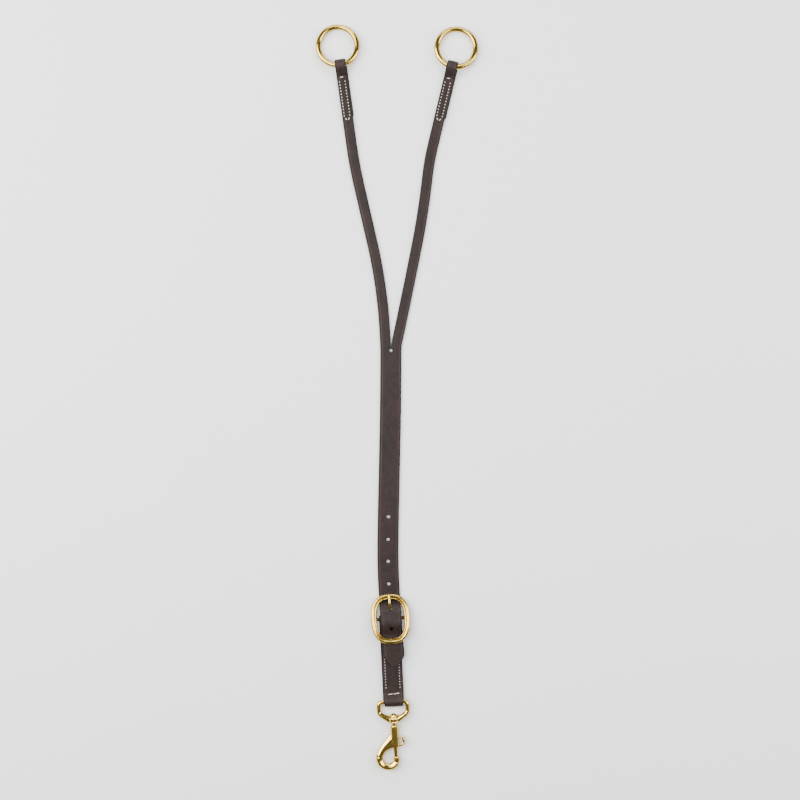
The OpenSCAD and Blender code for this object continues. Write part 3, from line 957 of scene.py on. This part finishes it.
# --- Stitching ----------------------------------------------------------------------------
def stitch(a, b, seed):
    """One stitch of two-ply thread from a to b, both on the leather's surface. Its ends dive in."""
    span = (b - a).length
    ahead = (b - a).normalized()
    side = ahead.cross(UP).normalized()
    wobble = 0.10 * MM * noise.noise(Vector((seed * 1.3, 0.5, 0)))
    path = []
    steps = 14
    dive = min(0.4, 0.9 * MM / span)
    for i in range(steps + 1):
        t = ease(i / steps)
        out = ease(min(t, 1 - t) / dive)
        lift = (0.28 * out - 0.75 * (1 - out)) * MM
        path.append((a + ahead * span * t + UP * lift + side * wobble * (2 * t - 1), side, UP))

    def section(i, t):
        fat = 0.62 + 0.38 * abs(math.sin(math.pi * t)) ** 0.5
        ring = []
        for k in range(14):
            angle = 2 * math.pi * k / 14
            radius = THREAD_R * fat * (1 + 0.16 * math.cos(2 * (angle - 5.2 * t - seed)))
            ring.append((radius * math.cos(angle), 0.9 * radius * math.sin(angle)))
        return ring
    return tube(path, section)


def thread_piece(name, node, frame_matrix, spans):
    """One piece of thread from all the stitches that spans give the ends of."""
    stitches = [stitch(frame_matrix @ a, frame_matrix @ b, k * 0.73 + len(name))
                for k, (a, b) in enumerate(spans)]
    mesh = mesh_from(name, *together(stitches))
    smooth(mesh, 60)
    new_object(name, mesh, "strap", THREAD, [node])


def loop_top(y):
    return loop_underside(y) + thinned(STRAP_T, y)


def loop_threads():
    for name, loop in (("left", LEFT_LOOP), ("right", RIGHT_LOOP)):
        ground = loop @ Matrix.Translation((0, 0, -RING_WIRE_Z))
        spans = []
        for s in (-1, 1):
            x = s * LOOP_ROW_X + LOOP_ROW_SHIFT
            for i in range(12):
                ys = [LOOP_STITCH_Y - (i + part) * LOOP_PITCH for part in (0.21, 0.79)]
                spans.append([Vector((x, y, loop_top(y) - 0.12 * MM)) for y in ys])
            y0, y1 = -63.2 * MM, -66.2 * MM
            spans.append([Vector((s * 2.64 * MM + LOOP_ROW_SHIFT, y0, loop_top(y0))),
                          Vector((s * 0.6 * MM + LOOP_ROW_SHIFT, y1, loop_top(y1)))])
        thread_piece(name + "_loop_threads", name + "_loop_stitching", ground, spans)
        bar = [(Vector((-2.6 * MM, -14.6 * MM, loop_top(-14.6 * MM))),
                Vector((1.6 * MM, -14.2 * MM, loop_top(-14.2 * MM))))]
        thread_piece(name + "_bar_thread", name + "_bar_stitch", ground, bar)


def snap_strap_threads():
    z = 2 * SNAP_STRAP_T - 0.1 * MM
    count = int((SNAP_STRAP_L - 42 * MM) / SNAP_PITCH)
    spans = []
    for s in (-1, 1):
        for i in range(count):
            ys = [SNAP_STITCH_Y - (i + part) * SNAP_PITCH for part in (0.25, 0.75)]
            spans.append([Vector((s * SNAP_ROW_X, y, z)) for y in ys])
    thread_piece("snap_strap_threads", "snap_strap_stitching", SNAP_STRAP, spans)
    spans = []
    for ends in (((-8.9, 9), (-0.1, 9.3)), ((-0.4, 9.3), (7.5, 10))):
        spans.append([Vector((x * MM, y * MM - SNAP_STRAP_L, z + 0.15 * MM)) for x, y in ends])
    thread_piece("snap_strap_cross_threads", "snap_strap_cross_stitch", SNAP_STRAP, spans)


# --- Rings --------------------------------------------------------------------------------
def rein_ring(name, node, loop, seed):
    """A brass ring of round wire, not quite even, with a faint brazed joint."""
    tilt = math.asin((RING_WIRE_Z - RING_WIRE_R) / (2 * RING_R))
    steps, sides = 220, 36
    path = []
    for i in range(steps):
        angle = 2 * math.pi * i / steps
        out = Vector((math.cos(angle), math.sin(angle), 0))
        radius = RING_R + 0.07 * MM * noise.noise(out * 1.3 + Vector((seed, 0, 0)))
        path.append((out * radius, out, UP))

    def section(i, t):
        out = path[i][1]
        wire = RING_WIRE_R * (1 + 0.006 * noise.noise(out * 4 + Vector((0, seed, 0))))
        wire -= 0.05 * MM * bump((t - 0.25) * 2 * math.pi * RING_R, 0.5 * MM)
        return oval(wire, wire, sides)
    matrix = loop @ Matrix.Rotation(-tilt, 4, "X") @ Matrix.Translation((0, RING_R, 0))
    mesh = mesh_from(name, *tube(path, section, True), matrix)
    smooth(mesh)
    new_object(name, mesh, node, SHADED_RING_BRASS, [node])


# --- Buckle -------------------------------------------------------------------------------
def beaded_section():
    """The frame's section: a broad outer bead, a groove and a narrow inner bead; flat beneath."""
    half, height = BAND_W / 2, FRAME_T / 2
    ring = []
    count = 40
    for i in range(count + 1):
        a = half * math.cos(math.pi * i / count)
        outer_bead = max(0, 1 - ((a - 1.05 * MM) / (2.25 * MM)) ** 2) ** 0.5
        inner_bead = 0.74 * max(0, 1 - ((a + 2.2 * MM) / (1.12 * MM)) ** 2) ** 0.5
        ring.append((a, height * max(outer_bead, inner_bead, 0.12 if 0 < i < count else 0)))
    for i in range(1, 14):
        a = -half * math.cos(math.pi * i / 14)
        ring.append((a, -height * (1 - abs(a / half) ** 5) ** 0.5))
    return ring


def evenly(loop, count):
    """Picks count points at even distances round a closed loop."""
    gaps = [(loop[(i + 1) % len(loop)] - point).length for i, point in enumerate(loop)]
    step = sum(gaps) / count
    picked, gone = [], 0.0
    for point, gap in zip(loop, gaps):
        if gone >= step * len(picked) and len(picked) < count:
            picked.append(point)
        gone += gap
    return picked


def buckle_frame():
    """The cast frame with its beaded band, and the centre bar that the leather hides."""
    a, b, power = (FRAME_W - BAND_W) / 2, (FRAME_L - BAND_W) / 2, 2 / 2.6
    steps = 240
    dense = [Vector((x, y, 0)) for x, y in oval(a, b, 4800, power)]
    points = evenly(dense, steps)
    path = []
    for i, point in enumerate(points):
        ahead = (points[(i + 1) % steps] - points[i - 1]).normalized()
        path.append((point, ahead.cross(UP), UP))
    section = beaded_section()
    matrix = Matrix.Translation((0, 0, FRAME_Z)) @ Matrix.Rotation(-FRAME_TILT, 4, "X")
    band = mesh_from("band", *tube(path, lambda i, t: section, True), matrix)
    reach = FRAME_W / 2 - 2.6 * MM
    profile = [(0.3 * MM, -reach), (2.6 * MM, -reach + 0.01 * MM), (2.5 * MM, -reach + 1.4 * MM),
               (CENTRE_BAR_R, -reach + 4.2 * MM), (CENTRE_BAR_R, reach - 4.2 * MM),
               (2.5 * MM, reach - 1.4 * MM), (2.6 * MM, reach - 0.01 * MM), (0.3 * MM, reach)]
    matrix = Matrix.Translation((0, 0, BUCKLE.translation.z)) @ \
        Matrix.Rotation(math.radians(-90), 4, "Z")
    bar = mesh_from("bar", *lathe(rounded_profile(profile, 1.5 * MM), 32), matrix)
    # Painted shade: the inner wall and the centre bar take the dark brass, as they lie in shadow.
    band.polygons.foreach_set("material_index", [int(i % len(section) in SHADED_INNER_WALL)
                                                 for i in range(len(band.polygons))])
    bar.polygons.foreach_set("material_index", [1] * len(bar.polygons))
    mesh = joined("buckle_frame_casting", [band, bar])
    mesh.transform(level(BUCKLE))
    smooth(mesh, 50)
    piece = new_object("buckle_frame_casting", mesh, "strap", SHADED_DULL_BRASS, ["buckle_frame"])
    piece.data.materials.append(PAINTED_SHADE_BRASS)


def joined(name, meshes):
    """One mesh from several, each face keeping its material number."""
    bm = bmesh.new()
    for mesh in meshes:
        bm.from_mesh(mesh)
    whole = bpy.data.meshes.new(name)
    bm.to_mesh(whole)
    bm.free()
    return whole


def buckle_tongue():
    """A tongue bent round the centre bar, tapering to a blunt tip on the top bar."""
    bar_z = BUCKLE.translation.z
    radius = 2.7 * MM
    points = []
    for i in range(15):
        angle = math.radians(-50 - 220 * i / 14)
        points.append(Vector((0, radius * math.cos(angle), bar_z + radius * math.sin(angle))))
    rest = TOP_BAR_Z + FRAME_T / 2 + 0.55 * MM
    points += spline([points[-1] + Vector((0, 1 * MM, -0.02 * MM)), (0, 5.5 * MM, 8.8 * MM),
                      (0, 11 * MM, rest + 0.15 * MM), (0, 17.5 * MM, rest + 0.95 * MM),
                      (0, 24.5 * MM, rest + 0.98 * MM), (0, 29.3 * MM, rest + 0.8 * MM)], 8)
    side = Vector((1, 0, 0))
    path = [(point, side, side.cross(along(points, i)).normalized())
            for i, point in enumerate(points)]
    count = len(path)

    def section(i, t):
        y = points[i].y / MM
        wrapped = i < 15
        half = 1.7 if wrapped else 1.7 - 0.75 * ease((y - 12) / 18)
        high = 0.72 if wrapped else 0.72 + 0.45 * ease((y - 4) / 7) - 0.35 * ease((y - 14) / 15)
        blunt = 1 - 0.55 * ease((i - count + 4) / 3) if not wrapped else 1
        return oval(half * MM * blunt, high * MM * blunt, 28, 0.62)
    mesh = mesh_from("buckle_tongue_bar", *tube(path, section), level(BUCKLE))
    smooth(mesh, 45)
    new_object("buckle_tongue_bar", mesh, "tongue", BRASS, ["buckle_tongue"])


# --- Snap ---------------------------------------------------------------------------------
def eye_part():
    """The snap's eye: a bent-wire shape with a ribbed swivel collar, cast in one."""
    right = [(0, 0), (8, 0), (13.2, 0), (15.9, -1.1), (17, -4), (17, -8), (16.9, -12.2), (14.6, -15.2),
             (9.5, -18.6), (4.6, -21.8)]
    left = [(-x, y) for x, y in reversed(right[1:])]
    points = flat_curve(left + right, 7)

    def wire(i, t):
        swell = 1 + 0.05 * math.sin(math.pi * t) ** 2
        across_end = min(t, 1 - t)
        swell += 0.36 * (1 - ease(across_end / 0.17))
        return oval(EYE_R * swell, EYE_R * min(swell, 1.2), 28)
    arms = tube(flat_path(points), wire)
    collar = turned([(0.3, -18.6), (4.9, -18.6), (5.5, -19.3), (5.65, -20.4), (5.65, -22.9),
                     (5.2, -23.5), (5.5, -24.2), (5.5, -25.2), (5.2, -25.6), (0.3, -25.6)], 48, 0.5)
    mesh = cast("eye", [arms, collar], 0.24 * MM, 6, Matrix())
    hole = lathe([(STUD_R + 0.06 * MM, -26.5 * MM), (STUD_R + 0.06 * MM, -17.5 * MM)], 40)
    mesh = cut(mesh, [mesh_from("hole", *hole)])
    mesh.transform(SNAP)
    smooth(mesh, 55)
    new_object("snap_eye_casting", mesh, "eye", BRASS, ["snap_eye"])


def stud_part():
    """The swivel stud, whose domed head shows inside the eye."""
    stud = turned([(0.2, -13.75), (1.4, -13.9), (2.7, -14.5), (3.8, -15.5), (4.5, -16.8),
                   (4.75, -18.0), (4.7, -18.5), (4.1, -18.62), (2.5, -18.66), (2.5, -33.9),
                   (0.2, -34)], 64)
    mesh = mesh_from("stud", *stud, SNAP)
    smooth(mesh, 40)
    new_object("swivel_stud_head", mesh, "snap", BRASS, ["swivel_stud"])


def hook_arm():
    """The broad fluted arm from the barrel to the hook: lofted between its two edges."""
    outer = flat_curve([(-1.5, -36.4), (-6.2, -39.4), (-11.1, -44.9), (-16.6, -50.9),
                        (-20.7, -56.9), (-23.4, -62.6), (-24.1, -67.4)], 7)
    inner = flat_curve([(-0.6, -54.4), (-3.4, -54.9), (-7.0, -55.9), (-10.2, -57.6),
                        (-12.9, -59.8), (-14.8, -62.6), (-16.3, -67.4)], 7)
    path, widths = [], []
    for a, b in zip(outer, inner):
        path.append(((a + b) / 2, (a - b).normalized(), UP))
        widths.append((a - b).length / 2)

    def section(i, t):
        ring = []
        high = (3.0 + 0.7 * t ** 2) * MM
        tuck = 1 - 0.1 * ease((t - 0.84) / 0.16)
        for k in range(48):
            angle = 2 * math.pi * k / 48
            c, s = math.cos(angle), math.sin(angle)
            u = math.copysign(abs(c) ** (0.75 + 0.25 * t ** 3), c)
            flute = 0.13 * (1 - t) * bump(u + 0.1, 0.26) + 0.09 * (1 - t) * bump(u - 0.52, 0.16)
            rise = math.copysign(abs(s) ** (0.8 + 0.2 * t ** 3), s) * (1 - flute)
            ring.append((widths[i] * u * tuck, high * rise * tuck))
        return ring
    return tube(path, section)


def hook_bend():
    """The round hook, ridged inside, ending in the seat that the bolt meets."""
    centre, radius = Vector((-9.3, -66.8, 0)) * MM, 10.9 * MM
    path = []
    for i in range(53):
        angle = math.radians(160 + 186 * i / 52)
        out = Vector((math.cos(angle), math.sin(angle), 0))
        path.append((centre + out * radius, out, UP))

    def section(i, t):
        wire = (3.9 - 0.15 * math.sin(math.pi * t)) * (1 - 0.38 * ease((t - 0.852) / 0.148)) * MM
        wire *= 1 - 0.16 * (1 - ease(t / 0.09))
        ring = []
        for k in range(36):
            angle = 2 * math.pi * k / 36
            c, s = math.cos(angle), math.sin(angle)
            inward = 1 + 0.10 * max(0, -c) ** 2
            ring.append((wire * c * inward, 0.95 * wire * s * (1 - 0.12 * bump(c + 0.35, 0.22))))
        return ring
    return tube(path, section)


def snap_body_part():
    """The barrel, hook and seat in one casting, bored for the bolt and slotted for its lever."""
    barrel = turned([(0.3, -28.4), (4.3, -28.4), (4.7, -29.0), (4.75, -36), (4.75, -46),
                     (4.75, -50.5), (4.75, -53.2), (4.5, -54.3), (3.7, -54.6), (0.3, -54.6)], 64, 0.35)
    seat_points, seat_faces = turned([(0.3, -73.6), (2.2, -73.3), (3.4, -71.9), (3.7, -70), (3.6, -67.6),
                                      (3.6, -66.1), (3.3, -65.65), (0.3, -65.6)], 48, 0.3)
    seat = ([p + Vector((0.45 * MM, 0, 0)) for p in seat_points], seat_faces)
    mesh = cast("body", [barrel, hook_arm(), hook_bend(), seat], 0.24 * MM, 5, Matrix())
    bore_r = BOLT_R + 0.06 * MM
    bore = lathe([(bore_r, -67.3 * MM), (bore_r, -34 * MM), (STUD_R, -33.98 * MM),
                  (STUD_R, -27.5 * MM)], 40)
    slot = [Vector((x, y, z)) * MM for z in (-1.75, 1.75)
            for x, y in ((1.5, -53.8), (8, -53.8), (8, -40.2), (1.5, -40.2))]
    slot_faces = bridge([0, 1, 2, 3], [4, 5, 6, 7]) + [(3, 2, 1, 0), (4, 5, 6, 7)]
    mesh = cut(mesh, [mesh_from("bore", *bore), mesh_from("slot", slot, slot_faces)])
    mesh.transform(SNAP)
    smooth(mesh, 55)
    new_object("snap_body_casting", mesh, "snap", BRASS, ["snap_body"])


def bolt_parts():
    """The sliding bolt and the thumb lever pressed into it."""
    bolt = turned([(0.2, -66.6), (1.6, -66.5), (2.1, -66.2), (2.3, -65.6), (2.3, -49.2), (2.1, -49),
                   (0.2, -49)], 48)
    mesh = mesh_from("bolt", *bolt, SNAP)
    smooth(mesh, 40)
    new_object("snap_bolt_rod", mesh, "bolt", BRASS, ["snap_bolt"])
    curve = flat_curve([(0.4, -52), (5, -52), (7.6, -51.7), (9.4, -50.3), (10.3, -48.2),
                        (10.2, -45.9), (9.6, -44.2), (9.2, -43)], 8)
    stem = tube(flat_path(curve), lambda i, t: oval(1.5 * MM, 1.5 * MM, 24))
    angles = [math.pi * i / 12 for i in range(13)]
    points, faces = turned([(0.1 + 2.0 * math.sin(a), -2.0 * math.cos(a)) for a in angles], 32)
    ball = ([p + curve[-1] for p in points], faces)
    mesh = cast("lever", [stem, ball], 0.12 * MM, 4, SNAP)
    smooth(mesh, 60)
    new_object("thumb_lever_casting", mesh, "bolt", BRASS, ["thumb_lever"])


def spring_part():
    """The bolt's spring, which shortens against the stud as the bolt slides up."""
    top, bottom, turns, steps = -34.35 * MM, -48.65 * MM, 6, 24
    path = []
    for i in range(turns * steps + 1):
        angle = 2 * math.pi * i / steps
        out = Vector((math.cos(angle), 0, math.sin(angle)))
        y = top + (bottom - top) * i / (turns * steps)
        path.append((out * 1.75 * MM + Vector((0, y, 0)), out, Vector((0, 1, 0))))
    mesh = mesh_from("spring", *tube(path, lambda i, t: oval(0.3 * MM, 0.3 * MM, 10)), SNAP)
    smooth(mesh, 60)
    spring = new_object("bolt_spring_coil", mesh, "snap", STEEL, ["bolt_spring"])
    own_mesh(spring)


# --- Set ----------------------------------------------------------------------------------
def floor():
    n = Nodes("pale_paper")
    tone = n.mix(n.noise(6, 3), rgb(0.86, 0.86, 0.857), rgb(0.88, 0.88, 0.877))
    n.finish(tone, 0.9, n.bump(n.noise(900, 4), 0.05, 0.0002), Specular_IOR_Level=0.2)
    size, drop = 6, 0.4 * MM
    corners = [(x * size, y * size, -drop) for x, y in ((-1, -1), (1, -1), (1, 1), (-1, 1))]
    mesh = mesh_from("floor", corners, [(0, 1, 2, 3)])
    mesh.materials.append(n.material)
    piece = bpy.data.objects.new("floor", mesh)
    bpy.context.scene.collection.objects.link(piece)


def area_light(name, place, target, width, height, power):
    data = bpy.data.lights.new(name, "AREA")
    data.shape = "RECTANGLE"
    data.size, data.size_y = width, height
    data.energy = power
    light = bpy.data.objects.new(name, data)
    light.location = place
    light.rotation_euler = (Vector(target) - Vector(place)).to_track_quat("-Z", "Y").to_euler()
    bpy.context.scene.collection.objects.link(light)


def lights():
    area_light("overhead_left", (-1.25, 0.3, 1.55), (0, 0, 0), 1.3, 2.4, 118)
    area_light("overhead_right", (1.45, 0.1, 1.35), (0, 0, 0), 0.7, 2.3, 58)
    area_light("back", (0.1, 1.9, 1.2), (0, 0.1, 0), 1.6, 0.6, 34)
    world = bpy.data.worlds.new("studio")
    world.use_nodes = True
    background = world.node_tree.nodes["Background"]
    background.inputs["Color"].default_value = rgb(0.95, 0.97, 1.0)
    background.inputs["Strength"].default_value = 0.16
    bpy.context.scene.world = world


def camera():
    """Straight above, far enough for a 0.96 m field."""
    data = bpy.data.cameras.new("camera")
    data.lens, data.sensor_width = 85, 36
    eye = bpy.data.objects.new("camera", data)
    eye.location = (4.4 * MM, -3.7 * MM, 0.96 * data.lens / data.sensor_width)
    bpy.context.scene.collection.objects.link(eye)
    bpy.context.scene.camera = eye


fork_strap()
snap_strap()
loop_threads()
snap_strap_threads()
rein_ring("left_rein_ring", "left_ring", LEFT_LOOP, 0.3)
rein_ring("right_rein_ring", "right_ring", RIGHT_LOOP, 5.1)
buckle_frame()
buckle_tongue()
eye_part()
stud_part()
snap_body_part()
bolt_parts()
spring_part()
floor()
lights()
camera()
